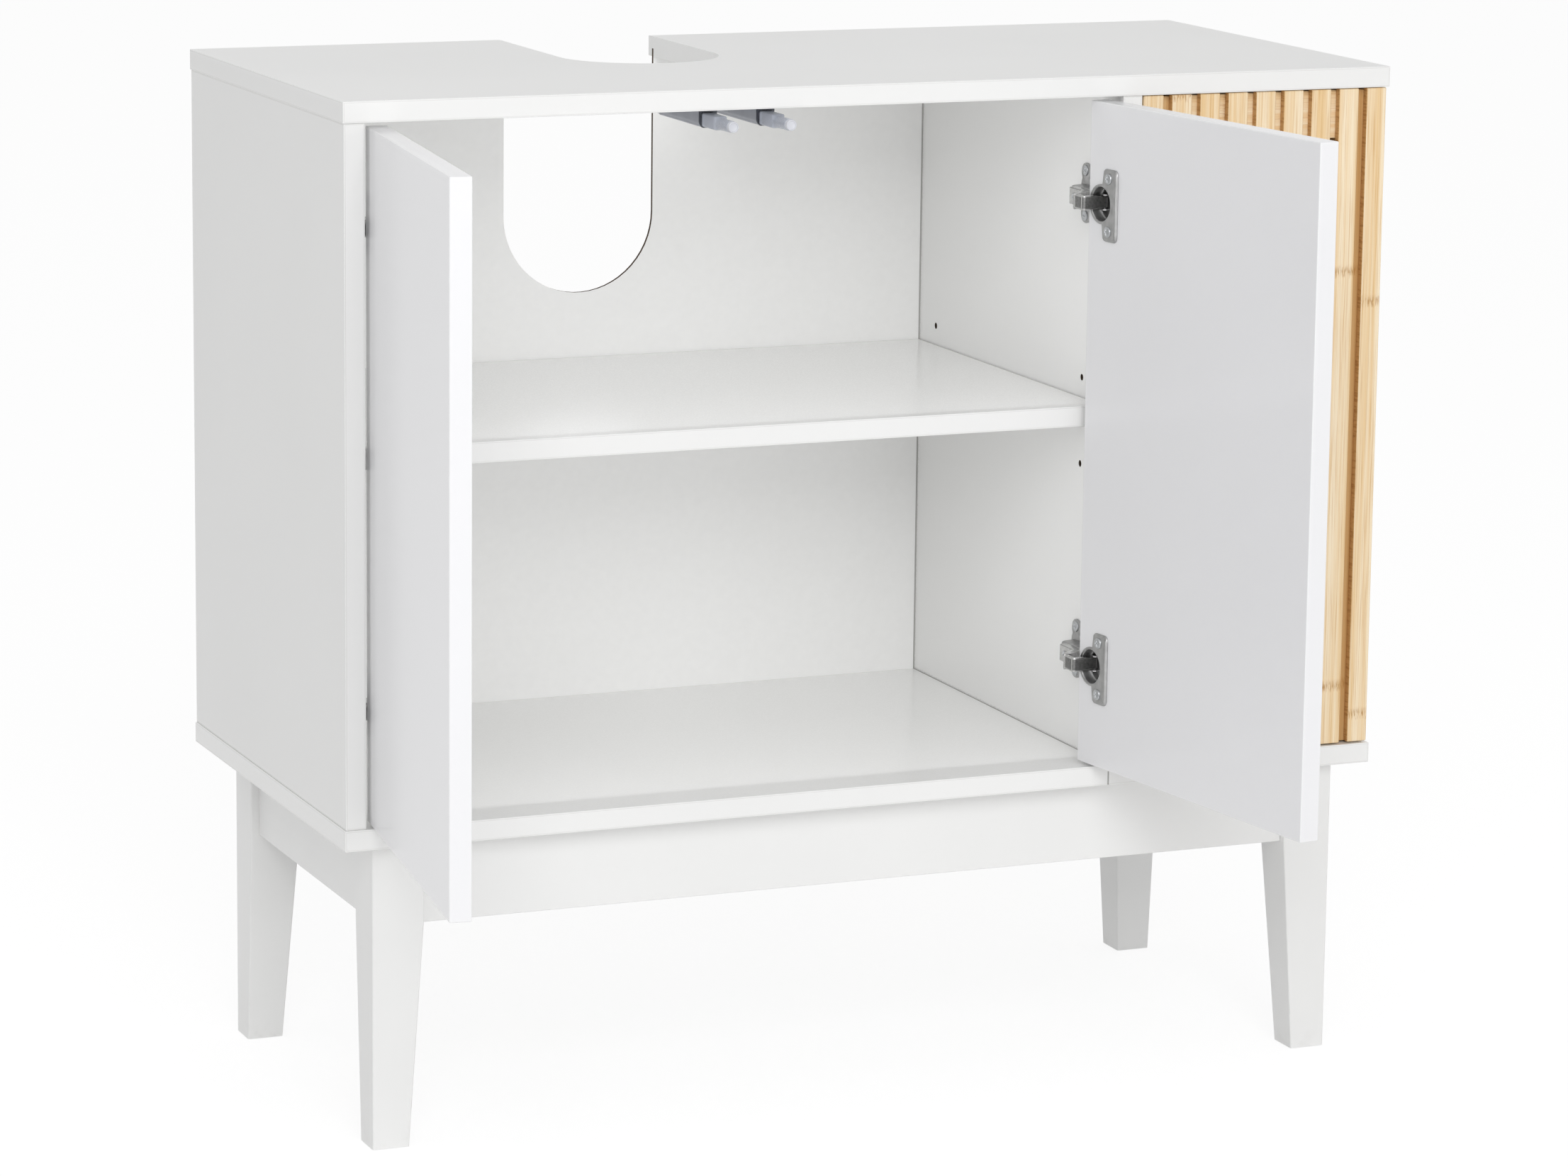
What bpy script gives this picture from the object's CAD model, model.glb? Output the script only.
import bmesh
import bpy
import numpy as np
from mathutils import Matrix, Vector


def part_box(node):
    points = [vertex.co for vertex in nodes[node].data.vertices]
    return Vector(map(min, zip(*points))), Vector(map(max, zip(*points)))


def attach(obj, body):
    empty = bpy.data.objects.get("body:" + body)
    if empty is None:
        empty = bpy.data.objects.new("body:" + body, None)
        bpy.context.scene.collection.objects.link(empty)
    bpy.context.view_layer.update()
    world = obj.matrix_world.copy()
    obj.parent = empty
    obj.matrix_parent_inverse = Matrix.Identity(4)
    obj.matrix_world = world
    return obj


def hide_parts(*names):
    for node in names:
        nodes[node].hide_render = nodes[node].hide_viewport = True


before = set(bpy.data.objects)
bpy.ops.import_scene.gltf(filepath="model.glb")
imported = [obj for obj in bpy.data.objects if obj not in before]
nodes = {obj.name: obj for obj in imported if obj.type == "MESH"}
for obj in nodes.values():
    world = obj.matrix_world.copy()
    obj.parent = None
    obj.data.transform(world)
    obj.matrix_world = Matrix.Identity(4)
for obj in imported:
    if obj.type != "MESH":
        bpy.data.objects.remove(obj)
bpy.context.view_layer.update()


# Carcass boards: top, bottom, two sides, the partition and the shelf.
# Particle board faced with white melamine foil, with a thin plastic band glued on every cut edge;
# they are dowelled and screwed together.

def linear(code):
    """Linear RGBA of an sRGB hex colour: over 12.92 near black, else the 2.4th power of the shifted value."""
    part = np.array([int(code[i:i + 2], 16) for i in (1, 3, 5)]) / 255
    value = np.where(part > 0.04045, ((part + 0.055) / 1.055) ** 2.4, part / 12.92)
    return (*value.tolist(), 1.0)


def feed(tree, node, inputs):
    """Gives each named input of a node its value, or links it to a socket."""
    for key, value in inputs.items():
        if isinstance(value, bpy.types.NodeSocket):
            tree.links.new(value, node.inputs[key])
        else:
            node.inputs[key].default_value = value


def add(tree, kind, inputs=None, **settings):
    """Adds one node, sets its properties and feeds its inputs."""
    made = tree.nodes.new("ShaderNode" + kind)
    for name, value in settings.items():
        setattr(made, name, value)
    feed(tree, made, inputs or {})
    return made


def new_finish(name):
    """An empty material with its tree, its shader and the piece's own coordinates in metres."""
    material = bpy.data.materials.new(name)
    material.use_nodes = True
    tree = material.node_tree
    return material, tree, tree.nodes["Principled BSDF"], add(tree, "TexCoord")


def dress(material, *names):
    """Puts one finish on CAD nodes, in place of their plain colour."""
    for name in names:
        slots = nodes[name].data.materials
        slots.clear()
        slots.append(material)


def edge_distance(tree, place, name, turn=0.0):
    """Metres from a point of a box-shaped piece to its nearest edge, and below its nearest face, where the
    box is turned about Z: the middle one and the least of the point's three depths below the box's faces."""
    points = np.empty(len(nodes[name].data.vertices) * 3)
    nodes[name].data.vertices.foreach_get("co", points)
    c, s = np.cos(turn), np.sin(turn)
    spin = np.array([[c, -s, 0], [s, c, 0], [0, 0, 1]])
    own = points.reshape(-1, 3) @ spin
    low, high = own.min(0), own.max(0)
    centred = add(tree, "Mapping", {
        "Vector": place.outputs["Object"],
        "Location": (spin @ ((low + high) / 2)).tolist(),
        "Rotation": (0, 0, turn),
    }, vector_type="TEXTURE")
    out = add(tree, "VectorMath", {0: centred.outputs[0]}, operation="ABSOLUTE")
    depth = add(tree, "VectorMath", {0: ((high - low) / 2).tolist(), 1: out.outputs[0]}, operation="SUBTRACT")
    split = add(tree, "SeparateXYZ", {0: depth.outputs[0]})
    lower = add(tree, "Math", {0: split.outputs[0], 1: split.outputs[1]}, operation="MINIMUM")
    upper = add(tree, "Math", {0: split.outputs[0], 1: split.outputs[1]}, operation="MAXIMUM")
    capped = add(tree, "Math", {0: upper.outputs[0], 1: split.outputs[2]}, operation="MINIMUM")
    edge = add(tree, "Math", {0: lower.outputs[0], 1: capped.outputs[0]}, operation="MAXIMUM")
    least = add(tree, "Math", {0: lower.outputs[0], 1: split.outputs[2]}, operation="MINIMUM")
    return edge.outputs[0], least.outputs[0]


partition_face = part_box("partition")[0].x


def foot_line(tree, place, colour):
    """The dark, dusty line of a joint: 1.2 mm of a piece beside the partition's face."""
    half = 0.0006
    across = add(tree, "SeparateXYZ", {0: place.outputs["Object"]})
    beside = add(tree, "Math", {0: across.outputs[0], 1: partition_face - half, 2: half}, operation="COMPARE")
    share = add(tree, "Math", {0: beside.outputs[0], 1: 0.75}, operation="MULTIPLY")
    return add(tree, "Mix", {
        0: share.outputs[0], 6: colour.outputs[2], 7: linear("#85837f"),
    }, data_type="RGBA")


def melamine_board(name, dull, bored):
    """White melamine foil, calendered satin: even and bright, with a fine pebble that only softens
    the shine, a faint glue line 1 mm in from each banded edge, and edges rubbed a little smoother.
    Bored holes show the brown core, and boards under the partition a dark line along its foot."""
    material, tree, shader, place = new_finish("melamine_foil_" + name)
    edge, depth = edge_distance(tree, place, name)
    drift = add(tree, "TexNoise", {"Vector": place.outputs["Object"], "Scale": 1 / 0.25, "Detail": 2.0})
    tone = add(tree, "Mix", {
        0: drift.outputs[0], 6: linear("#efefee"), 7: linear("#f5f5f4"),
    }, data_type="RGBA")
    seam = add(tree, "Math", {0: edge, 1: 0.001, 2: 0.00025}, operation="COMPARE")
    faint = add(tree, "Math", {0: seam.outputs[0], 1: 0.3}, operation="MULTIPLY")
    colour = add(tree, "Mix", {
        0: faint.outputs[0], 6: tone.outputs[2], 7: linear("#cbcac6"),
    }, data_type="RGBA")
    if bored:
        bore = add(tree, "Math", {0: depth, 1: 0.0003}, operation="GREATER_THAN")
        colour = add(tree, "Mix", {
            0: bore.outputs[0], 6: colour.outputs[2], 7: linear("#4b4036"),
        }, data_type="RGBA")
    if name in ("shelf", "bottom_board"):
        colour = foot_line(tree, place, colour)
    # the foil's pebble is about 0.3 mm, drawn at 1.1 mm so that it shows
    pebble = add(tree, "TexNoise", {"Vector": place.outputs["Object"], "Scale": 1 / 0.0011, "Detail": 1.0})
    rubbed = add(tree, "MapRange", {"Value": edge, 1: 0.0, 2: 0.004, 3: dull * 0.7, 4: dull})
    speck = add(tree, "MapRange", {"Value": pebble.outputs[0], 1: 0.3, 2: 0.7, 3: -0.04, 4: 0.04})
    rough = add(tree, "Math", {0: rubbed.outputs[0], 1: speck.outputs[0]}, operation="ADD")
    bump = add(tree, "Bump", {"Height": pebble.outputs[0], "Strength": 0.12, "Distance": 0.0001})
    feed(tree, shader, {
        "Base Color": colour.outputs[2], "Roughness": rough.outputs[0], "Normal": bump.outputs[0],
        "IOR": 1.5,
    })
    dress(material, name)


# the outside is dulled by cleaning; the shelf and the floor of the bay keep their shine
for board, dull, bored in (("top_board", 0.42, False), ("left_side", 0.42, True), ("right_side", 0.42, True),
                           ("partition", 0.36, True), ("bottom_board", 0.2, True), ("shelf", 0.2, True)):
    melamine_board(board, dull, bored)


# Back panel: thin hardboard, slid into grooves of the sides and the partition.
# Its faces are roller-coated white; the sawn edge, seen round the pipe cut-out, stays bare brown.

def coated_hardboard():
    """Roller-coated hardboard: flat white with a faint felt mottle, and a dark, dry, fibrous edge."""
    material, tree, shader, place = new_finish("roller_coated_hardboard")
    facing = add(tree, "SeparateXYZ", {0: place.outputs["Normal"]})
    flat = add(tree, "Math", {0: facing.outputs[1]}, operation="ABSOLUTE")
    cut = add(tree, "Math", {0: flat.outputs[0], 1: 0.7}, operation="LESS_THAN")
    mottle = add(tree, "TexNoise", {"Vector": place.outputs["Object"], "Scale": 1 / 0.006, "Detail": 4.0})
    face = add(tree, "Mix", {
        0: mottle.outputs[0], 6: linear("#eeeeed"), 7: linear("#f3f3f2"),
    }, data_type="RGBA")
    fibre = add(tree, "TexNoise", {"Vector": place.outputs["Object"], "Scale": 1 / 0.0008, "Detail": 3.0})
    sawn = add(tree, "Mix", {
        0: fibre.outputs[0], 6: linear("#2f2721"), 7: linear("#5f4b3a"),
    }, data_type="RGBA")
    joined = foot_line(tree, place, face)
    colour = add(tree, "Mix", {0: cut.outputs[0], 6: joined.outputs[2], 7: sawn.outputs[2]}, data_type="RGBA")
    rough = add(tree, "MapRange", {"Value": cut.outputs[0], 3: 0.48, 4: 0.85})
    bump = add(tree, "Bump", {"Height": fibre.outputs[0], "Strength": 0.15, "Distance": 0.0001})
    feed(tree, shader, {
        "Base Color": colour.outputs[2], "Roughness": rough.outputs[0], "Normal": bump.outputs[0],
    })
    dress(material, "back_panel")


coated_hardboard()


# Dowels and screws inside the joints: fluted beech dowels, and zinc-plated steel screws with sunk heads.
# Only the screw heads show, from below and behind.

def beech():
    """Beech: pale pinkish brown with short darker flecks along the grain, left dry."""
    material, tree, shader, place = new_finish("bare_beech")
    grain = add(tree, "Mapping", {
        "Vector": place.outputs["Object"], "Scale": (1 / 0.004, 1 / 0.004, 1 / 0.0012),
    })
    fleck = add(tree, "TexNoise", {"Vector": grain.outputs[0], "Scale": 1.0, "Detail": 3.0})
    colour = add(tree, "Mix", {
        0: fleck.outputs[0], 6: linear("#b98f66"), 7: linear("#dfbd95"),
    }, data_type="RGBA")
    bump = add(tree, "Bump", {"Height": fleck.outputs[0], "Strength": 0.2, "Distance": 0.0001})
    feed(tree, shader, {"Base Color": colour.outputs[2], "Normal": bump.outputs[0], "Roughness": 0.65})
    dress(material, "dowels")


def zinc_plate():
    """Zinc-plated steel: light blue-grey metal, cloudy where the passivation has dried unevenly."""
    material, tree, shader, place = new_finish("zinc_plated_steel")
    cloud = add(tree, "TexNoise", {"Vector": place.outputs["Object"], "Scale": 1 / 0.0025, "Detail": 4.0})
    colour = add(tree, "Mix", {
        0: cloud.outputs[0], 6: linear("#a9acb0"), 7: linear("#d3d5d6"),
    }, data_type="RGBA")
    rough = add(tree, "MapRange", {"Value": cloud.outputs[0], 1: 0.3, 2: 0.7, 3: 0.24, 4: 0.42})
    feed(tree, shader, {"Base Color": colour.outputs[2], "Roughness": rough.outputs[0], "Metallic": 1.0})
    return material


beech()
zinc = zinc_plate()
dress(zinc, "carcass_screws")


# Leg frame: four square legs that taper on two faces, joined by rails under the bottom board.
# Solid hardwood, sanded and sprayed with white satin lacquer; dowelled together and screwed up from below.

def lacquered_wood(name, along):
    """White satin lacquer on wood: smooth, with the grain just telegraphing through as long low
    ridges along the piece, and faint grey scuffs on the lowest few centimetres."""
    material, tree, shader, place = new_finish("satin_lacquered_wood_" + name)
    stretch = [1 / 0.003 if axis != along else 1 / 0.12 for axis in range(3)]
    lay = add(tree, "Mapping", {"Vector": place.outputs["Object"], "Scale": stretch})
    grain = add(tree, "TexNoise", {"Vector": lay.outputs[0], "Scale": 1.0, "Detail": 3.0})
    drift = add(tree, "TexNoise", {"Vector": place.outputs["Object"], "Scale": 1 / 0.12, "Detail": 2.0})
    tone = add(tree, "Mix", {
        0: drift.outputs[0], 6: linear("#eeeeed"), 7: linear("#f5f5f4"),
    }, data_type="RGBA")
    split = add(tree, "SeparateXYZ", {0: place.outputs["Object"]})
    low = add(tree, "MapRange", {"Value": split.outputs[2], 1: 0.0, 2: 0.02, 3: 0.1, 4: 0.0})
    scuff = add(tree, "TexNoise", {"Vector": place.outputs["Object"], "Scale": 1 / 0.009, "Detail": 5.0})
    rub = add(tree, "MapRange", {"Value": scuff.outputs[0], 1: 0.52, 2: 0.7, 3: 0.0, 4: 1.0})
    worn = add(tree, "Math", {0: low.outputs[0], 1: rub.outputs[0]}, operation="MULTIPLY")
    colour = add(tree, "Mix", {
        0: worn.outputs[0], 6: tone.outputs[2], 7: linear("#b9b6b0"),
    }, data_type="RGBA")
    rough = add(tree, "MapRange", {"Value": grain.outputs[0], 1: 0.3, 2: 0.7, 3: 0.3, 4: 0.4})
    bump = add(tree, "Bump", {"Height": grain.outputs[0], "Strength": 0.12, "Distance": 0.0002})
    feed(tree, shader, {
        "Base Color": colour.outputs[2], "Roughness": rough.outputs[0], "Normal": bump.outputs[0],
    })
    return material


dress(lacquered_wood("upright", 2), "front_left_leg", "front_right_leg", "rear_left_leg", "rear_right_leg")
dress(lacquered_wood("across", 0), "front_rail", "rear_rail")
dress(lacquered_wood("endwise", 1), "left_rail", "right_rail")
dress(zinc, "rail_screws")


# Shelf pins: four small turned pegs with flat paddles, pushed into bored holes, that carry the shelf.
# Nickel-plated steel, like the hinges.

def nickel_plate():
    """Nickel-plated pressed steel: mid-grey mirror, dulled in streaks by the press and by handling."""
    material, tree, shader, place = new_finish("nickel_plated_steel")
    streak = add(tree, "Mapping", {
        "Vector": place.outputs["Object"], "Scale": (1 / 0.0012, 1 / 0.0012, 1 / 0.008),
    })
    drawn = add(tree, "TexNoise", {"Vector": streak.outputs[0], "Scale": 1.0, "Detail": 3.0})
    stain = add(tree, "TexNoise", {"Vector": place.outputs["Object"], "Scale": 1 / 0.006, "Detail": 3.0})
    colour = add(tree, "Mix", {
        0: stain.outputs[0], 6: linear("#939393"), 7: linear("#c6c6c6"),
    }, data_type="RGBA")
    rough = add(tree, "MapRange", {"Value": drawn.outputs[0], 1: 0.3, 2: 0.7, 3: 0.3, 4: 0.46})
    bump = add(tree, "Bump", {"Height": drawn.outputs[0], "Strength": 0.1, "Distance": 0.00005})
    feed(tree, shader, {
        "Base Color": colour.outputs[2], "Roughness": rough.outputs[0], "Normal": bump.outputs[0],
        "Metallic": 1.0,
    })
    return material


nickel = nickel_plate()
dress(nickel, "shelf_pins")


# Plain doors: two smooth panels without handles, shown swung open past a right angle.
# Fibreboard sprayed with white gloss lacquer on all faces, bored for the hinge cups.

door_swing = np.radians(97.5)


def gloss_door(name, turn):
    """Sprayed gloss lacquer: cool white with a soft reflection, a faint orange peel of about 2 mm,
    and edges where the spray lies thinner and polishes up."""
    material, tree, shader, place = new_finish("gloss_lacquer_" + name)
    edge = edge_distance(tree, place, name, turn)[0]
    drift = add(tree, "TexNoise", {"Vector": place.outputs["Object"], "Scale": 1 / 0.3, "Detail": 2.0})
    tone = add(tree, "Mix", {
        0: drift.outputs[0], 6: linear("#eeeef0"), 7: linear("#f4f4f6"),
    }, data_type="RGBA")
    thin = add(tree, "MapRange", {"Value": edge, 1: 0.0, 2: 0.003, 3: 0.5, 4: 0.0})
    colour = add(tree, "Mix", {
        0: thin.outputs[0], 6: tone.outputs[2], 7: linear("#f5f5f6"),
    }, data_type="RGBA")
    peel = add(tree, "TexNoise", {"Vector": place.outputs["Object"], "Scale": 1 / 0.002, "Detail": 1.0})
    rough = add(tree, "MapRange", {"Value": edge, 1: 0.0, 2: 0.006, 3: 0.14, 4: 0.2})
    bump = add(tree, "Bump", {"Height": peel.outputs[0], "Strength": 0.05, "Distance": 0.0002})
    feed(tree, shader, {
        "Base Color": colour.outputs[2], "Roughness": rough.outputs[0], "Normal": bump.outputs[0],
        "IOR": 1.5,
    })
    dress(material, name)


gloss_door("left_door", -door_swing)
gloss_door("right_door", door_swing)


# Hinge cups: a round cup sunk in the door, with a tall screw flange beside it and a bead along the flange.
# Pressed from one blank of steel and nickel-plated; two lugs inside hold the pivot pin, which is a CAD node.

pivot_x, pivot_y, bay_middle = -374.0, -172.5, -99.5
hinge_heights = (648.5, 310.5)
door_face = 9.0


def hinge_place(points, side, height, swings):
    """Hinge axes (u into the bay, v to the rear, z up, in mm from the pivot) to metres in the cabinet.
    A door's piece is first turned about the pivot to the open pose; the right hand mirrors the left."""
    angle = -door_swing if swings else 0.0
    u, v = points[..., 0], points[..., 1]
    x = pivot_x + u * np.cos(angle) - v * np.sin(angle)
    y = pivot_y + u * np.sin(angle) + v * np.cos(angle)
    x = x if side == "left" else 2 * bay_middle - x
    return np.stack([x, y, points[..., 2] + height], -1) / 1000


def surface_piece(name, skins, material, body, finish, *stands_for):
    """One object from closed skins, each a stack of rings of points in metres: quads join neighbouring
    rings. The first and last ring are welded where they are the same, and else closed by a face or a pole."""
    points, faces, start = [], [], 0
    for rings in skins:
        count, around = rings.shape[:2]
        row, col = np.meshgrid(np.arange(count - 1) * around, np.arange(around), indexing="ij")
        after = (col + 1) % around
        quads = np.stack([row + col, row + after, row + around + after, row + around + col], -1)
        points.append(rings.reshape(-1, 3))
        faces += (quads.reshape(-1, 4) + start).tolist()
        if not np.allclose(rings[0], rings[-1], atol=1e-7):
            faces.append((start + np.arange(around)[::-1]).tolist())
            faces.append((start + (count - 1) * around + np.arange(around)).tolist())
        start += count * around
    mesh = bpy.data.meshes.new(name)
    mesh.from_pydata(np.concatenate(points).tolist(), [], faces)
    shell = bmesh.new()
    shell.from_mesh(mesh)
    bmesh.ops.remove_doubles(shell, verts=shell.verts, dist=2e-6)
    bmesh.ops.recalc_face_normals(shell, faces=shell.faces)
    shell.to_mesh(mesh)
    shell.free()
    mesh.polygons.foreach_set("use_smooth", np.ones(len(mesh.polygons), bool))
    mesh.set_sharp_from_angle(angle=np.radians(40))
    mesh.materials.append(material)
    made = bpy.data.objects.new(name, mesh)
    bpy.context.scene.collection.objects.link(made)
    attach(made, body)
    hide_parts(*stands_for)


def flange_reach(angle):
    """Distance from the cup's axis to the outline of the pressing along each ray: the far side of a
    rounded rectangle where the ray runs inside it, found by halving, and elsewhere the cup's round rim."""
    near, far, half_height, corner, rim = 3.0, 21.5, 26.0, 4.0, 14.3
    shortest, longest = 20.0, 40.0
    middle, half = (near + far) / 2, (far - near) / 2

    def outside(reach):
        across = np.abs(reach * np.cos(angle) - middle) - half + corner
        along = np.abs(reach * np.sin(angle)) - half_height + corner
        return np.hypot(np.maximum(across, 0), np.maximum(along, 0)) > corner

    low, high = np.full(angle.shape, shortest), np.full(angle.shape, longest)
    missed = outside(low)
    for _ in range(30):
        between = (low + high) / 2
        beyond = outside(between)
        low, high = np.where(beyond, low, between), np.where(beyond, between, high)
    return np.where(missed, rim, low)


def cup_skin():
    """The pressing as rings about the cup's axis: up the narrow well, over a ledge, up the wide mouth and
    its rolled rim, out over the flange with the bead raised between two short ramps, and down outside."""
    centre, well, inner, outer, floor_v, foot_v = 9.0, 11.2, 12.1, 12.9, -2.3, -3.05
    bead_u, bead_half, bead_ramp, bead_rise, bead_end, end_ramp = 28.4, 1.9, 0.8, 1.1, 24.4, 1.2
    face, lip = door_face + 1.0, inner + 1.0
    close = np.concatenate([np.linspace(66, 81.3, 14), [81.45]])
    angle = np.radians(np.unique(np.concatenate([np.arange(-180, 180, 2.5), close, -close])))
    reach = flange_reach(angle)
    same = np.ones_like(angle)
    inside = [
        (0.0, floor_v), (5.0, floor_v), (well - 1.6, floor_v), (well - 0.5, floor_v + 0.45),
        (well, floor_v + 1.6), (well, 1.9), (well + 0.1, 2.25), (well + 0.35, 2.45),
        (inner - 0.25, 2.6), (inner, 2.9), (inner, 6.0), (inner + 0.05, 9.0), (inner + 0.25, 9.65),
        (inner + 0.7, face),
    ]
    rows = [(r * same, v * same) for r, v in inside]
    for share in np.linspace(0, 1, 40):
        out = lip + (reach - 0.35 - lip) * share
        u, z = centre + out * np.cos(angle), out * np.sin(angle)
        ramp = np.clip((bead_half - np.abs(u - bead_u)) / bead_ramp, 0, 1)
        ends = np.clip((bead_end - np.abs(z)) / end_ramp, 0, 1)
        rows.append((out, face + bead_rise * ramp * ramp * (3 - 2 * ramp) * ends))
    outside = [
        (reach - 0.1, face - 0.12), (reach, face - 0.35), (reach, door_face + 0.1), (outer, door_face + 0.02),
        (outer, -2.0), (outer - 0.6, -2.8), (outer - 2.0, foot_v), (0.0, foot_v),
    ]
    rows += [(r * same, v * same) for r, v in outside]
    return np.stack([
        np.stack([centre + out * np.cos(angle), v, out * np.sin(angle)], -1) for out, v in rows
    ])


def rounded_prism(outline, low, high, soft):
    """An outline in u and v carried up from low to high, its two rims rounded: near each end the outline
    moves in along its corner bisectors by a quarter circle's amount."""
    points = np.array(outline, float)
    before, after = points - np.roll(points, 1, 0), np.roll(points, -1, 0) - points
    normal_a = np.stack([before[:, 1], -before[:, 0]], -1) / np.linalg.norm(before, axis=1)[:, None]
    normal_b = np.stack([after[:, 1], -after[:, 0]], -1) / np.linalg.norm(after, axis=1)[:, None]
    split = normal_a + normal_b
    mitre = split / (0.5 * (split ** 2).sum(1))[:, None]
    area = (points[:, 0] * np.roll(points[:, 1], -1) - points[:, 1] * np.roll(points[:, 0], -1)).sum()
    turn = np.radians([0, 30, 60, 90])
    inset = np.concatenate([soft * (1 - np.sin(turn)), soft * (1 - np.sin(turn[::-1]))])
    height = np.concatenate([low + soft * (1 - np.cos(turn)), high - soft * (1 - np.cos(turn[::-1]))])
    flat = points[None] - np.sign(area) * mitre[None] * inset[:, None, None]
    return np.concatenate([flat, np.broadcast_to(height[:, None, None], (*flat.shape[:2], 1))], -1)


lug = [(-3.6, -2.6), (3.4, -2.6), (4.0, 1.4), (2.4, 3.0), (-3.0, 3.0)]
lug_low, lug_high, lug_soft = 4.7, 6.0, 0.3
for side in ("left", "right"):
    pressing = []
    for height in hinge_heights:
        upper_lug = rounded_prism(lug, lug_low, lug_high, lug_soft)
        lower_lug = rounded_prism(lug, -lug_high, -lug_low, lug_soft)
        for skin in (cup_skin(), upper_lug, lower_lug):
            pressing.append(hinge_place(skin, side, height, True))
    surface_piece(
        side + "_cup_pressings", pressing, nickel, side + "_leaf", "nickel_steel", side + "_hinge_cups",
    )
dress(nickel, "left_hinge_pins", "right_hinge_pins")


# Hinge arms: a folded link hooks round the pin in the cup and runs out to a cranked arm on the panel.
# Pressed steel channel with its long edges folded over, nickel-plated; two screws clamp it to its plate.

def folded_link():
    """A channel section carried along a path: round the pin, straight out, a quarter bend and back to the
    arm. It widens past the cup's lugs, and its two flanges fold away from the bend's outside."""
    eye, web, bend, narrow, wide = 1.45, 0.6, 1.6, 4.25, 5.4
    turn_u, run, deep, soft, lip = 16.6, 12.6, 1.4, 1.1, 0.9
    wrap, turn = np.radians(np.linspace(-340, -90, 22)), np.radians(np.linspace(-90, 0, 10))
    path = np.concatenate([
        np.stack([eye * np.cos(wrap), eye * np.sin(wrap)], -1),
        np.stack([np.linspace(1.5, 16.2, 12), np.full(12, -eye)], -1),
        np.stack([turn_u + bend * np.cos(turn), bend - eye + bend * np.sin(turn)], -1),
        np.stack([np.full(8, turn_u + bend), np.linspace(0.8, run, 8)], -1),
    ])
    ahead = np.gradient(path, axis=0)
    ahead /= np.linalg.norm(ahead, axis=1)[:, None]
    outward = np.stack([ahead[:, 1], -ahead[:, 0]], -1)
    past_pin = np.arange(len(path)) - len(wrap)
    grown = np.clip(past_pin / 6, 0, 1)
    fold = web + (deep - web) * grown * grown * (3 - 2 * grown)
    half = narrow + (wide - narrow) * np.clip((past_pin - 3) / 2, 0, 1)
    curve = np.radians(np.linspace(0, 90, 6))
    rest = np.ones((len(path), 1))
    over = web - soft + soft * np.cos(curve)
    upper = np.concatenate([rest * over, -fold[:, None], -fold[:, None], -web * rest], 1)
    sunk = np.concatenate([soft - soft * np.sin(curve), [0.0, lip, lip]])
    rise = half[:, None] - sunk[None, :]
    offset = np.concatenate([upper, upper[:, ::-1]], 1)
    height = np.concatenate([rise, -rise[:, ::-1]], 1)
    flat = path[:, None, :] + offset[..., None] * outward[:, None, :]
    return np.concatenate([flat, height[..., None]], -1)


def greased_nickel():
    """Nickel plate on the link: the flat web is dull and dark with old grease, and its rims, its bend and
    the arm behind, which hands reach, stay polished. The web is found by its height from the nearer hinge's
    middle, and the bend and the arm by their depth behind the pivot."""
    material, tree, shader, place = new_finish("greased_nickel_plate")
    split = add(tree, "SeparateXYZ", {0: place.outputs["Object"]})
    middle, apart = sum(hinge_heights) / 2000, (hinge_heights[0] - hinge_heights[1]) / 2000
    lifted = add(tree, "Math", {0: split.outputs[2], 1: middle}, operation="SUBTRACT")
    sized = add(tree, "Math", {0: lifted.outputs[0]}, operation="ABSOLUTE")
    off = add(tree, "Math", {0: sized.outputs[0], 1: apart}, operation="SUBTRACT")
    rise = add(tree, "Math", {0: off.outputs[0]}, operation="ABSOLUTE")
    web = add(tree, "MapRange", {"Value": rise.outputs[0], 1: 0.0036, 2: 0.0046, 3: 1.0, 4: 0.0})
    bend_y, arm_y = pivot_y / 1000 - 0.0002, pivot_y / 1000 + 0.0105
    bend = add(tree, "Math", {0: split.outputs[1], 1: bend_y, 2: 0.0006}, operation="COMPARE")
    behind = add(tree, "Math", {0: split.outputs[1], 1: arm_y}, operation="LESS_THAN")
    ahead = add(tree, "Math", {
        0: behind.outputs[0], 1: bend.outputs[0],
    }, operation="SUBTRACT", use_clamp=True)
    smear = add(tree, "TexNoise", {"Vector": place.outputs["Object"], "Scale": 1 / 0.002, "Detail": 4.0})
    patch = add(tree, "MapRange", {"Value": smear.outputs[0], 1: 0.3, 2: 0.7, 3: 0.7, 4: 1.0})
    zone = add(tree, "Math", {0: web.outputs[0], 1: ahead.outputs[0]}, operation="MULTIPLY")
    grease = add(tree, "Math", {0: zone.outputs[0], 1: patch.outputs[0]}, operation="MULTIPLY")
    plate = add(tree, "Mix", {
        0: smear.outputs[0], 6: linear("#a8a8a7"), 7: linear("#dededd"),
    }, data_type="RGBA")
    colour = add(tree, "Mix", {
        0: grease.outputs[0], 6: plate.outputs[2], 7: linear("#6a6a69"),
    }, data_type="RGBA")
    rough = add(tree, "MapRange", {"Value": grease.outputs[0], 3: 0.24, 4: 0.42})
    feed(tree, shader, {"Base Color": colour.outputs[2], "Roughness": rough.outputs[0], "Metallic": 1.0})
    return material


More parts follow.
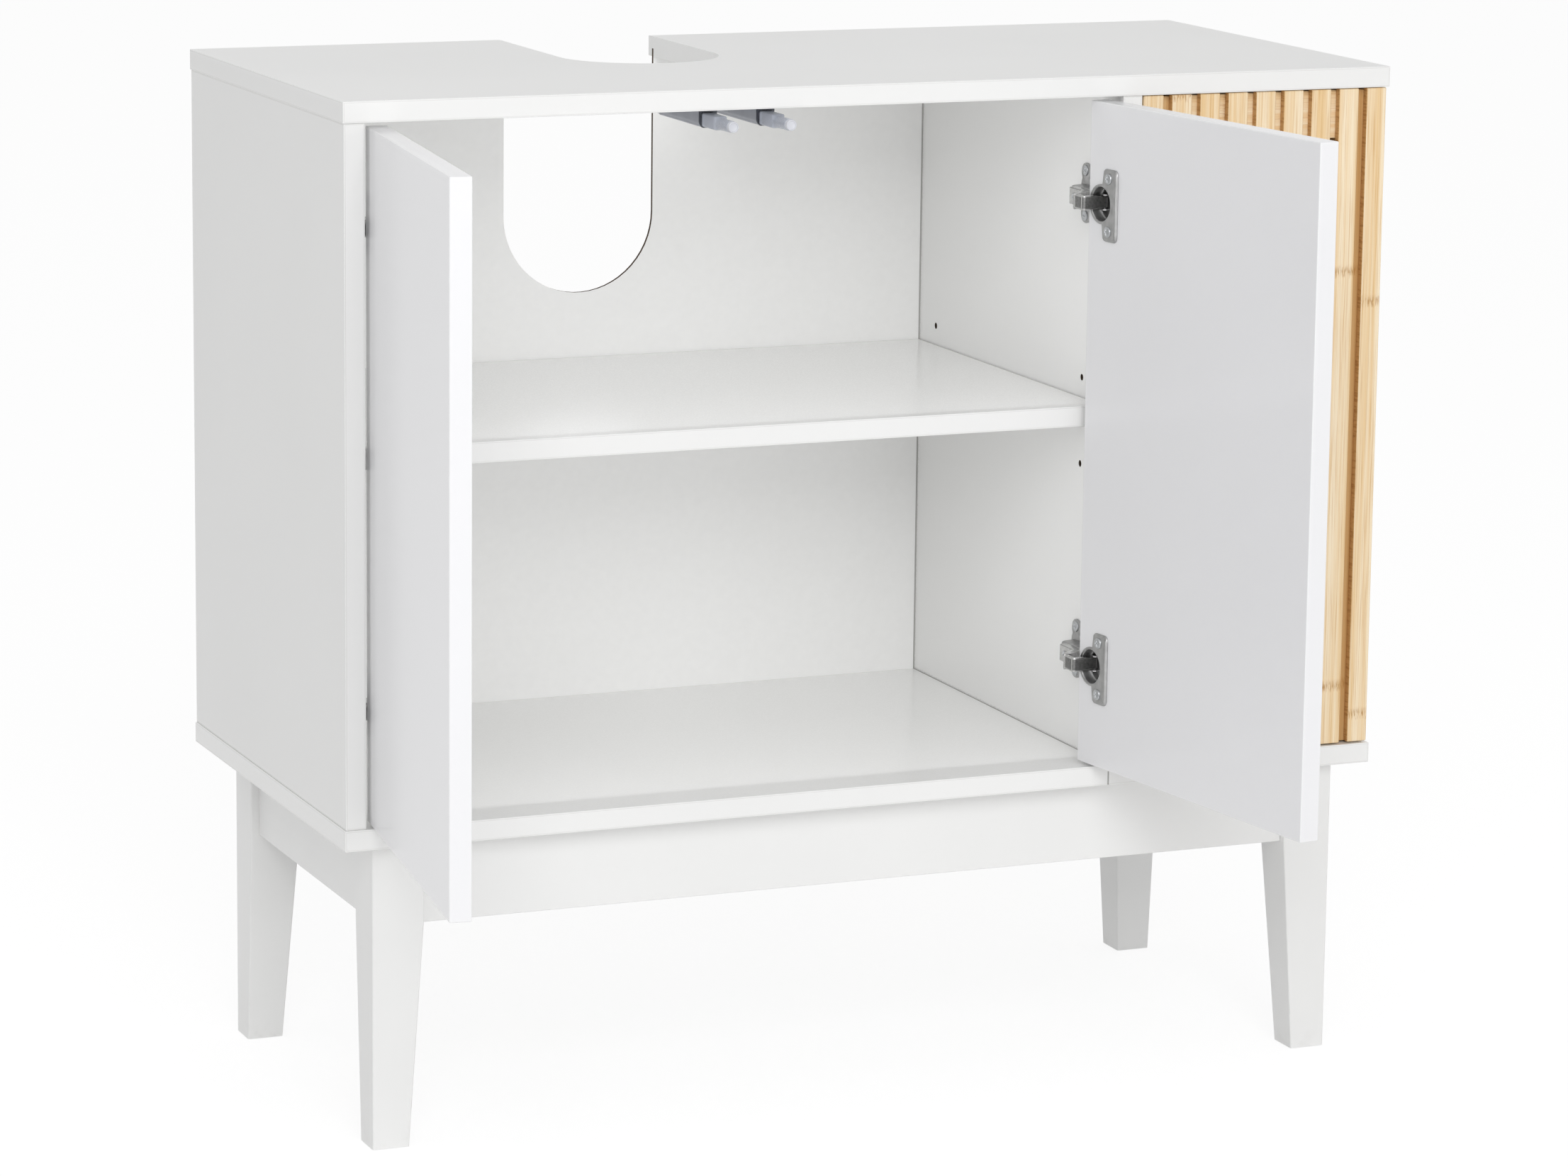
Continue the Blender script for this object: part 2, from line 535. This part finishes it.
handled_nickel = greased_nickel()
arm_side = [
    (9.2, 11.6), (18.9, 11.6), (18.9, 13.2), (17.6, 15.0), (8.0, 22.0), (8.0, 42.2), (7.2, 42.9),
    (1.1, 42.9), (1.1, 18.5), (9.2, 14.0),
]
arm_half, arm_soft = 6.2, 0.9
for side in ("left", "right"):
    arms = []
    for height in hinge_heights:
        for skin in (folded_link(), rounded_prism(arm_side, -arm_half, arm_half, arm_soft)):
            arms.append(hinge_place(skin, side, height, False))
    surface_piece(
        side + "_cranked_arms", arms, handled_nickel, "cabinet", "nickel_steel", side + "_hinge_arms",
    )


# Hinge plates: a flat plate with two rounded wings, screwed to the panel, and a raised bridge under the arm.
# Pressed and nickel-plated steel.

def wing_skin():
    """The plate as rings across its thickness. Its half width follows an eighth-power oval along the height,
    pinched between the bridge and the wings, and its front rim is drawn in a little."""
    half_width, half_height, middle = 7.5, 22.0, 50.0
    pinch, pinch_z, pinch_reach = 0.24, 11.0, 2.2
    tilt = np.linspace(-np.pi / 2, np.pi / 2, 48)
    z = half_height * np.sin(tilt)
    width = half_width * (1 - (np.abs(z) / half_height) ** 8) ** 0.5
    width = width * (1 - pinch * np.exp(-((np.abs(z) - pinch_z) / pinch_reach) ** 2))
    v = np.concatenate([middle + width, middle - width[-2:0:-1]])
    up = np.concatenate([z, z[-2:0:-1]])
    rows = [(-9.98, 1.0), (-9.0, 1.0), (-8.72, 0.98), (-8.6, 0.94)]
    return np.stack([
        np.stack([np.full_like(v, u), middle + (v - middle) * size, up * (0.6 + 0.4 * size)], -1)
        for u, size in rows
    ])


def rounded_ring(width, height, corner):
    """Points of a rounded rectangle about its centre, with a quarter circle at each corner."""
    turn = np.radians(np.linspace(0, 90, 12)[None, :] + np.arange(0, 360, 90)[:, None])
    side_a, side_b = np.array([1, -1, -1, 1])[:, None], np.array([1, 1, -1, -1])[:, None]
    a = side_a * (width / 2 - corner) + corner * np.cos(turn)
    b = side_b * (height / 2 - corner) + corner * np.sin(turn)
    return np.stack([a.ravel(), b.ravel()], -1)


def bridge_skin():
    """The bridge as rounded rectangles that narrow from the panel up to the arm's seat."""
    middle = 38.5
    rows = [
        (-9.9, 35.0, 13.0, 3.0), (-8.4, 34.6, 12.7, 2.8), (-1.0, 33.4, 11.8, 2.4), (0.2, 32.8, 11.2, 2.2),
        (0.7, 32.2, 10.6, 2.0), (0.98, 31.0, 9.4, 1.6),
    ]
    rings = [(u, rounded_ring(long, tall, corner)) for u, long, tall, corner in rows]
    return np.stack([
        np.stack([np.full(len(ring), u), ring[:, 0] + middle, ring[:, 1]], -1) for u, ring in rings
    ])


plates = [
    hinge_place(skin, side, height, False)
    for side in ("left", "right") for height in hinge_heights for skin in (wing_skin(), bridge_skin())
]
surface_piece("winged_plates", plates, nickel, "cabinet", "nickel_steel", "hinge_plates")


# Hinge screws: pan-head screws through the flange and the wings, and two machine screws on each arm.
# Cold-headed steel with a punched cross recess, zinc-plated.

def screw_skin(head_radius, head, shank_radius, shank):
    """A screw as rings about its axis, from the top of its domed head to its point. The cross recess lowers
    the dome where a point lies within half a blade of either of two bars, with soft shoulders."""
    blade, shoulder, bar, bar_end, sunk = 0.7, 0.26, 2.3, 0.3, 0.75
    angle = np.radians(np.arange(0, 360, 6.0))
    rows = []
    for share in (0.0, 0.1, 0.2, 0.3, 0.4, 0.5, 0.58, 0.66, 0.75, 0.84, 0.92):
        out = share * head_radius
        x, y = np.abs(out * np.cos(angle)), np.abs(out * np.sin(angle))
        bar_a = np.clip((blade - x) / shoulder, 0, 1) * np.clip((bar - y) / bar_end, 0, 1)
        bar_b = np.clip((blade - y) / shoulder, 0, 1) * np.clip((bar - x) / bar_end, 0, 1)
        dome = head * (1 - 0.4 * share ** 2)
        rows.append((np.full_like(angle, out), dome - sunk * np.maximum(bar_a, bar_b)))
    below = [
        (head_radius * 0.985, head * 0.42), (head_radius, head * 0.2), (head_radius, 0.02),
        (shank_radius, 0.0), (shank_radius, -shank + 1.5), (0.0, -shank),
    ]
    for out, rise in below:
        rows.append((np.full_like(angle, out), np.full_like(angle, rise)))
    return np.stack([np.stack([out * np.cos(angle), out * np.sin(angle), rise], -1) for out, rise in rows])


def on_flange(skin, u, spread):
    """A screw with its head on the cup's flange, driven into the door."""
    return np.stack([u + skin[..., 0], door_face + 1.0 + skin[..., 2], spread + skin[..., 1]], -1)


def on_plate(skin, seat, v, spread):
    """A screw with its head towards the bay, driven into the panel or the plate."""
    return np.stack([seat + skin[..., 2], v + skin[..., 0], spread + skin[..., 1]], -1)


flange_u, flange_spread = 18.8, 19.0
wing_face, wing_v, wing_spread = -8.6, 50.0, 16.5
arm_face, clamp_v = 8.0, (25.5, 33.5)
wood_screw = screw_skin(4.0, 1.4, 1.6, 10.0)
panel_screw = screw_skin(4.0, 1.4, 1.75, 11.0)
clamp_screw = screw_skin(2.8, 1.4, 1.5, 11.0)
for side in ("left", "right"):
    heads = [
        hinge_place(on_flange(wood_screw, flange_u, spread), side, height, True)
        for height in hinge_heights for spread in (-flange_spread, flange_spread)
    ]
    surface_piece(side + "_flange_screws", heads, zinc, side + "_leaf", "zinc_steel", side + "_cup_screws")
wing_heads = [
    hinge_place(on_plate(panel_screw, wing_face, wing_v, spread), side, height, False)
    for side in ("left", "right") for height in hinge_heights for spread in (-wing_spread, wing_spread)
]
surface_piece("wing_screws", wing_heads, zinc, "cabinet", "zinc_steel", "plate_screws")
clamp_heads = [
    hinge_place(on_plate(clamp_screw, arm_face, v, 0.0), side, height, False)
    for side in ("left", "right") for height in hinge_heights for v in clamp_v
]
surface_piece("clamp_screws", clamp_heads, zinc, "cabinet", "zinc_steel", "adjust_screws")


# Push latches: sprung plungers in slim cases screwed under the top board, three alike.
# Moulded grey plastic case and pale carriage, a dark collar at the mouth and a clear soft tip.

def moulded_plastic(name, deep, light, low, high):
    """Moulded thermoplastic: even colour with a slight cloud, and a spark-eroded texture of fine grain."""
    material, tree, shader, place = new_finish(name)
    cloud = add(tree, "TexNoise", {"Vector": place.outputs["Object"], "Scale": 1 / 0.012, "Detail": 3.0})
    colour = add(tree, "Mix", {0: cloud.outputs[0], 6: linear(deep), 7: linear(light)}, data_type="RGBA")
    # the eroded grain is about 0.1 mm, drawn at 0.5 mm so that it shows
    grain = add(tree, "TexNoise", {"Vector": place.outputs["Object"], "Scale": 1 / 0.0005, "Detail": 1.0})
    rough = add(tree, "MapRange", {"Value": grain.outputs[0], 1: 0.3, 2: 0.7, 3: low, 4: high})
    bump = add(tree, "Bump", {"Height": grain.outputs[0], "Strength": 0.1, "Distance": 0.00005})
    feed(tree, shader, {
        "Base Color": colour.outputs[2], "Roughness": rough.outputs[0], "Normal": bump.outputs[0],
        "IOR": 1.49,
    })
    return material


housing_grey = moulded_plastic("moulded_grey_abs", "#7f828b", "#9a9da6", 0.28, 0.4)
carriage_pale = moulded_plastic("moulded_pale_acetal", "#a8adba", "#c4c8d2", 0.22, 0.34)
collar_dark = moulded_plastic("moulded_dark_nylon", "#2f323a", "#434750", 0.3, 0.42)
tip_clear = moulded_plastic("clear_elastomer", "#cdcfd6", "#dedfe5", 0.16, 0.26)


def lengthwise(spot, rows):
    """Rings across the Y axis from (y, width, height, corner, rise) rows in mm, about a spot in metres."""
    rings = [(y, rise, rounded_ring(width, height, corner)) for y, width, height, corner, rise in rows]
    return np.stack([
        np.array(spot) + np.stack([ring[:, 0], np.full(len(ring), y), ring[:, 1] + rise], -1) / 1000
        for y, rise, ring in rings
    ])


# the carriage is a rounded square with a ledge on top, ahead of which it runs on as a round nose;
# the tip is a disc with a dished face
carriage_rows = [
    (0.0, 7.4, 7.4, 3.7, 0.0), (0.3, 8.2, 8.2, 4.1, 0.0), (12.0, 8.4, 8.4, 4.2, -0.1),
    (19.4, 8.5, 8.4, 4.1, -0.2), (20.2, 8.6, 8.4, 3.0, -0.2), (21.0, 9.2, 9.4, 1.6, 0.2),
    (21.4, 9.6, 9.6, 1.5, 0.2), (40.0, 9.6, 9.6, 1.5, 0.2), (71.0, 9.6, 9.6, 1.5, 0.2),
    (71.5, 8.8, 8.8, 1.3, 0.2),
]
tip_discs = [
    (0.7, 0.0), (0.7, 4.6), (0.55, 5.5), (0.05, 6.1), (0.0, 6.6), (0.15, 7.3), (0.6, 7.7), (3.48, 7.7),
]
tip_rows = [(y, wide, wide, wide / 2, 0.0) for y, wide in tip_discs]
# the case is a slim tube round the carriage's way, closed at its rear, with two flat ears for its screws
case_long, way_long, way_rise, ear_rise, collar_rise = 86.0, 80.0, -2.75, 6.75, -0.25
case_rows = [
    (case_long, 0.0, 0.0, 0.0, 0.0), (case_long, 12.6, 15.5, 4.4, 0.0), (0.0, 12.6, 15.5, 4.4, 0.0),
    (0.0, 10.6, 10.6, 1.9, way_rise), (way_long, 10.6, 10.6, 1.9, way_rise),
    (way_long, 0.0, 0.0, 0.0, way_rise),
]
ear_rows = [
    (56.0, 31.4, 1.4, 0.4, ear_rise), (56.3, 32.0, 2.0, 0.5, ear_rise),
    (75.7, 32.0, 2.0, 0.5, ear_rise), (76.0, 31.4, 1.4, 0.4, ear_rise),
]
collar_rows = [
    (0.0, 13.4, 16.0, 4.7, collar_rise), (-1.2, 13.4, 16.0, 4.7, collar_rise),
    (-1.6, 12.8, 15.4, 4.4, collar_rise), (-1.6, 10.9, 10.9, 2.0, way_rise),
    (0.0, 10.9, 10.9, 2.0, way_rise), (0.0, 13.4, 16.0, 4.7, collar_rise),
]
collars = []
for name, body in (("left", "left_push"), ("right", "right_push"), ("slatted", "slatted_push")):
    case_low, case_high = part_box(name + "_latch_housing")
    spot = ((case_low.x + case_high.x) / 2, case_low.y, (case_low.z + case_high.z) / 2)
    case = [lengthwise(spot, case_rows), lengthwise(spot, ear_rows)]
    surface_piece(
        name + "_latch_case", case, housing_grey, "cabinet", "grey_plastic", name + "_latch_housing",
    )
    collars.append(lengthwise(spot, collar_rows))
    for node, rows, material, finish in (
        (name + "_plunger", carriage_rows, carriage_pale, "pale_plastic"),
        (name + "_plunger_tip", tip_rows, tip_clear, "clear_bumper"),
    ):
        low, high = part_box(node)
        spot = ((low.x + high.x) / 2, low.y, (low.z + high.z) / 2)
        surface_piece(node + "_moulding", [lengthwise(spot, rows)], material, body, finish, node)
surface_piece("collar_rings", collars, collar_dark, "cabinet", "dark_plastic", "latch_collars")
dress(zinc, "latch_screws")


# Slatted door: nine upright bamboo slats on a frame of two stiles and two rails, screwed from behind.
# Slats planed from side-pressed bamboo and oiled; the door turns on two pins in bushes at its right end.

slat_pitch = 0.022625
slat_start, slat_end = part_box("slat_1")[0].x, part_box("slat_9")[1].x


def oiled_bamboo(name, upright, deep, pale):
    """Side-pressed bamboo under thin oil: honey coloured, with soft strips a few millimetres wide, close
    fibres along the length, ragged darker knuckles where the cane had joints, and darker sawn flanks
    inside the gaps."""
    material, tree, shader, place = new_finish("oiled_bamboo_" + name)
    turn = (0, 0, 0) if upright else (0, np.radians(90), 0)
    own = add(tree, "Mapping", {"Vector": place.outputs["Object"], "Rotation": turn})
    split = add(tree, "SeparateXYZ", {0: own.outputs[0]})
    # soft strips 4 mm wide, and fibres 0.4 mm wide drawn at 0.9 mm so that they show
    wide = add(tree, "Mapping", {"Vector": own.outputs[0], "Scale": (1 / 0.004, 1 / 0.004, 1 / 0.5)})
    strip = add(tree, "TexNoise", {"Vector": wide.outputs[0], "Scale": 1.0, "Detail": 2.0})
    fine = add(tree, "Mapping", {"Vector": own.outputs[0], "Scale": (1 / 0.0009, 1 / 0.0009, 1 / 0.06)})
    fibre = add(tree, "TexNoise", {"Vector": fine.outputs[0], "Scale": 1.0, "Detail": 3.0})
    strip_share = add(tree, "MapRange", {"Value": strip.outputs[0], 1: 0.35, 2: 0.65})
    body = add(tree, "Mix", {
        0: strip_share.outputs[0], 6: linear(deep), 7: linear(pale),
    }, data_type="RGBA")
    line = add(tree, "MapRange", {"Value": fibre.outputs[0], 1: 0.5, 2: 0.7, 3: 0.0, 4: 0.62})
    lined = add(tree, "Mix", {0: line.outputs[0], 6: body.outputs[2], 7: linear("#d3a463")}, data_type="RGBA")
    # one knuckle each 310 mm of cane, at its own height on each slat
    count = add(tree, "Math", {0: split.outputs[0], 1: slat_start}, operation="SUBTRACT")
    step = add(tree, "Math", {0: count.outputs[0], 1: slat_pitch}, operation="DIVIDE")
    number = add(tree, "Math", {0: step.outputs[0]}, operation="FLOOR")
    chance = add(tree, "TexWhiteNoise", {"W": number.outputs[0]}, noise_dimensions="1D")
    height = add(tree, "Math", {
        0: split.outputs[2], 1: 1 / 0.31, 2: chance.outputs[0],
    }, operation="MULTIPLY_ADD")
    ragged = add(tree, "Mapping", {"Vector": own.outputs[0], "Scale": (1 / 0.0011, 1 / 0.0011, 1 / 0.007)})
    fray = add(tree, "TexNoise", {"Vector": ragged.outputs[0], "Scale": 1.0, "Detail": 3.0})
    pushed = add(tree, "Math", {0: fray.outputs[0], 1: 0.03, 2: height.outputs[0]}, operation="MULTIPLY_ADD")
    lap = add(tree, "Math", {0: pushed.outputs[0]}, operation="FRACT")
    off = add(tree, "Math", {0: lap.outputs[0], 1: 0.5}, operation="SUBTRACT")
    away = add(tree, "Math", {0: off.outputs[0]}, operation="ABSOLUTE")
    knuckle = add(tree, "MapRange", {"Value": away.outputs[0], 1: 0.002, 2: 0.016, 3: 1.0, 4: 0.0})
    dash = add(tree, "MapRange", {"Value": fray.outputs[0], 1: 0.45, 2: 0.62, 3: 0.12, 4: 0.8})
    mark = add(tree, "Math", {0: knuckle.outputs[0], 1: dash.outputs[0]}, operation="MULTIPLY")
    marked = add(tree, "Mix", {
        0: mark.outputs[0], 6: lined.outputs[2], 7: linear("#b27c35"),
    }, data_type="RGBA")
    # saw marks across the flanks, a tooth every 1.4 mm; the door's two outer edges are planed
    middle, reach = (slat_start + slat_end) / 2, (slat_end - slat_start) / 2 - 0.001
    within = add(tree, "Math", {0: split.outputs[0], 1: middle, 2: reach}, operation="COMPARE")
    facing = add(tree, "SeparateXYZ", {0: place.outputs["Normal"]})
    sideways = add(tree, "Math", {0: facing.outputs[0]}, operation="ABSOLUTE")
    turned = add(tree, "Math", {0: sideways.outputs[0], 1: 0.7}, operation="GREATER_THAN")
    flank = add(tree, "Math", {0: turned.outputs[0], 1: within.outputs[0]}, operation="MULTIPLY")
    toothed = add(tree, "Mapping", {
        "Vector": place.outputs["Object"], "Scale": (1 / 0.012, 1 / 0.012, 1 / 0.0014),
    })
    tooth = add(tree, "TexNoise", {"Vector": toothed.outputs[0], "Scale": 1.0, "Detail": 2.0})
    nick = add(tree, "MapRange", {"Value": tooth.outputs[0], 1: 0.48, 2: 0.66})
    sawn = add(tree, "Mix", {
        0: nick.outputs[0], 6: linear("#d0a56b"), 7: linear("#b5864d"),
    }, data_type="RGBA")
    dressed = add(tree, "Mix", {
        0: flank.outputs[0], 6: marked.outputs[2], 7: sawn.outputs[2],
    }, data_type="RGBA")
    bump = add(tree, "Bump", {"Height": fibre.outputs[0], "Strength": 0.25, "Distance": 0.0002})
    rough = add(tree, "MapRange", {"Value": fibre.outputs[0], 1: 0.3, 2: 0.7, 3: 0.38, 4: 0.55})
    feed(tree, shader, {
        "Base Color": dressed.outputs[2], "Roughness": rough.outputs[0], "Normal": bump.outputs[0],
        "IOR": 1.5,
    })
    return material


def planed_slat(low, high, arris, lift):
    """A slat as rounded rectangles stacked up its length, its ends drawn in by half the arris and its top
    lifted: the solid stops 2 mm under the top board, and the eye should find no gap there."""
    soft, top = arris / 2, high.z + lift
    rings = []
    for z, inset in ((low.z, soft), (low.z + soft, 0.0), (top - soft, 0.0), (top, soft)):
        ring = rounded_ring(high.x - low.x - 2 * inset, high.y - low.y - 2 * inset, arris - inset)
        spot = ((low.x + high.x) / 2, (low.y + high.y) / 2, z)
        rings.append(np.column_stack([ring, np.zeros(len(ring))]) + spot)
    return np.stack(rings)


slat_arris, slat_lift = 0.001, 0.0014
pale_bamboo = oiled_bamboo("slats", True, "#eccb98", "#f9e7c8")
for number in range(1, 10):
    node = "slat_%d" % number
    slat = planed_slat(*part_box(node), slat_arris, slat_lift)
    surface_piece("planed_" + node, [slat], pale_bamboo, "slatted_leaf", "bamboo", node)
# behind the slats the rails are pale, and the stiles of darker, steamed cane
dress(oiled_bamboo("stiles", True, "#c6985c", "#e0bb84"), "slat_left_stile", "slat_right_stile")
dress(oiled_bamboo("rails", False, "#f5d7a6", "#ffeecd"), "slat_top_rail", "slat_bottom_rail")
dress(zinc, "slat_screws", "swing_pins")
dress(moulded_plastic("moulded_white_nylon", "#dcdcda", "#ecebe8", 0.3, 0.42), "swing_bushes")


# Studio: a wide floor of matt white paper that runs into a white surround, two soft boxes in front,
# two weak panels inside the open bays and the even light of the room from all round.

def sweep_white(open_share, glow):
    """Matt white paper: to the camera and in reflections it glows to white and keeps the soft shadow."""
    material, tree, shader, _ = new_finish("matt_white_paper")
    path = add(tree, "LightPath")
    seen = add(tree, "Math", {
        0: path.outputs["Is Camera Ray"], 1: path.outputs["Is Glossy Ray"],
    }, operation="MAXIMUM")
    shown = add(tree, "Math", {
        0: seen.outputs[0], 1: path.outputs["Is Transmission Ray"],
    }, operation="MAXIMUM")
    shade = add(tree, "BsdfDiffuse", {"Color": (open_share, open_share, open_share, 1.0)})
    light = add(tree, "Emission", {"Color": (1, 1, 1, 1), "Strength": glow})
    both = add(tree, "AddShader", {0: shade.outputs[0], 1: light.outputs[0]})
    bare = add(tree, "BsdfDiffuse", {"Color": linear("#f6f6f6")})
    pick = add(tree, "MixShader", {0: shown.outputs[0], 1: bare.outputs[0], 2: both.outputs[0]})
    out = tree.nodes["Material Output"]
    tree.links.new(pick.outputs[0], out.inputs["Surface"])
    tree.nodes.remove(shader)
    return material


floor_half, floor_drop = 30.0, 0.0005
corner = np.array([[-1, -1, 0], [1, -1, 0], [1, 1, 0], [-1, 1, 0]]) * floor_half
sheet = bpy.data.meshes.new("studio_floor")
sheet.from_pydata((corner - [0, 0, floor_drop]).tolist(), [], [(0, 1, 2, 3)])
floor = bpy.data.objects.new("studio_floor", sheet)
bpy.context.scene.collection.objects.link(floor)
sheet.materials.append(sweep_white(0.3, 0.79))

world = bpy.data.worlds.new("white_room")
bpy.context.scene.world = world
world.use_nodes = True
sky = world.node_tree
path = add(sky, "LightPath")
seen = add(sky, "Math", {
    0: path.outputs["Is Camera Ray"], 1: path.outputs["Is Glossy Ray"],
}, operation="MAXIMUM")
shown = add(sky, "Math", {0: seen.outputs[0], 1: path.outputs["Is Transmission Ray"]}, operation="MAXIMUM")
room = sky.nodes["Background"]
room.inputs["Color"].default_value = (1, 1, 1, 1)
room.inputs["Strength"].default_value = 0.6
white = add(sky, "Background", {"Color": (1, 1, 1, 1), "Strength": 1.0})
pick = add(sky, "MixShader", {0: shown.outputs[0], 1: room.outputs[0], 2: white.outputs[0]})
sky.links.new(pick.outputs[0], sky.nodes["World Output"].inputs["Surface"])


def soft_lamp(name, spot, aim, width, height, power):
    """A rectangular soft box at a spot, its face turned to the aim."""
    lamp = bpy.data.lights.new(name, "AREA")
    lamp.shape = "RECTANGLE"
    lamp.size, lamp.size_y, lamp.energy = width, height, power
    made = bpy.data.objects.new(name, lamp)
    bpy.context.scene.collection.objects.link(made)
    back = np.array(spot, float) - np.array(aim, float)
    back /= np.linalg.norm(back)
    side = np.cross((0, 0, 1), back)
    side /= np.linalg.norm(side)
    made.matrix_world = Matrix(np.vstack([
        np.column_stack([side, np.cross(back, side), back, spot]), [0, 0, 0, 1],
    ]).tolist())
    made.visible_camera = False
    return made


soft_lamp("high_soft_box", (-1.30, -4.26, 2.72), (0.0, 0.0, 0.45), 2.6, 2.2, 78.0)
soft_lamp("low_soft_box", (0.44, -4.97, 0.80), (0.0, 0.0, 0.45), 2.4, 1.2, 17.0)
# the two weak panels stand behind where the doors shut, and lift the boards as white cards would
card_y, card_gap, card_power = -0.15, 0.01, 0.165
shelf_low, shelf_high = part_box("shelf")
deck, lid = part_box("bottom_board")[1].z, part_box("top_board")[0].z
for name, low, high in (("upper_bay_card", shelf_high.z, lid), ("lower_bay_card", deck, shelf_low.z)):
    spot = np.array([(shelf_low.x + shelf_high.x) / 2, card_y, (low + high) / 2])
    wide, tall = shelf_high.x - shelf_low.x, high - low - card_gap
    card = soft_lamp(name, spot, spot + [0, 1, 0], wide, tall, card_power)
    card.visible_glossy = False


# Camera: a long lens to the left of the middle and above the top board, looking a little down.
# Its place, turn in radians and focal length in pixels were solved from the photograph's straight edges.

photo_wide, focal_pixels, shift_pixels = 2212, 7672.8588, -130
eye = np.array([-1.533037, -3.654701, 1.151242])
yaw, pitch, roll = 0.3973, -0.1838, 0.0117
ahead = np.array([np.sin(yaw) * np.cos(pitch), np.cos(yaw) * np.cos(pitch), np.sin(pitch)])
level = np.array([np.cos(yaw), -np.sin(yaw), 0.0])
above = np.cross(level, ahead)
across = np.cos(roll) * level + np.sin(roll) * above
upward = np.cos(roll) * above - np.sin(roll) * level
lens = bpy.data.cameras.new("photo_camera")
lens.sensor_width = 36.0
lens.lens = focal_pixels / photo_wide * lens.sensor_width
lens.shift_y = shift_pixels / photo_wide
lens.clip_start, lens.clip_end = 0.05, 100.0
camera = bpy.data.objects.new("photo_camera", lens)
bpy.context.scene.collection.objects.link(camera)
stand = np.vstack([np.column_stack([across, upward, -ahead, eye]), [0, 0, 0, 1]])
camera.matrix_world = Matrix(stand.tolist())
bpy.context.scene.camera = camera
bpy.context.scene.view_settings.view_transform = "Standard"
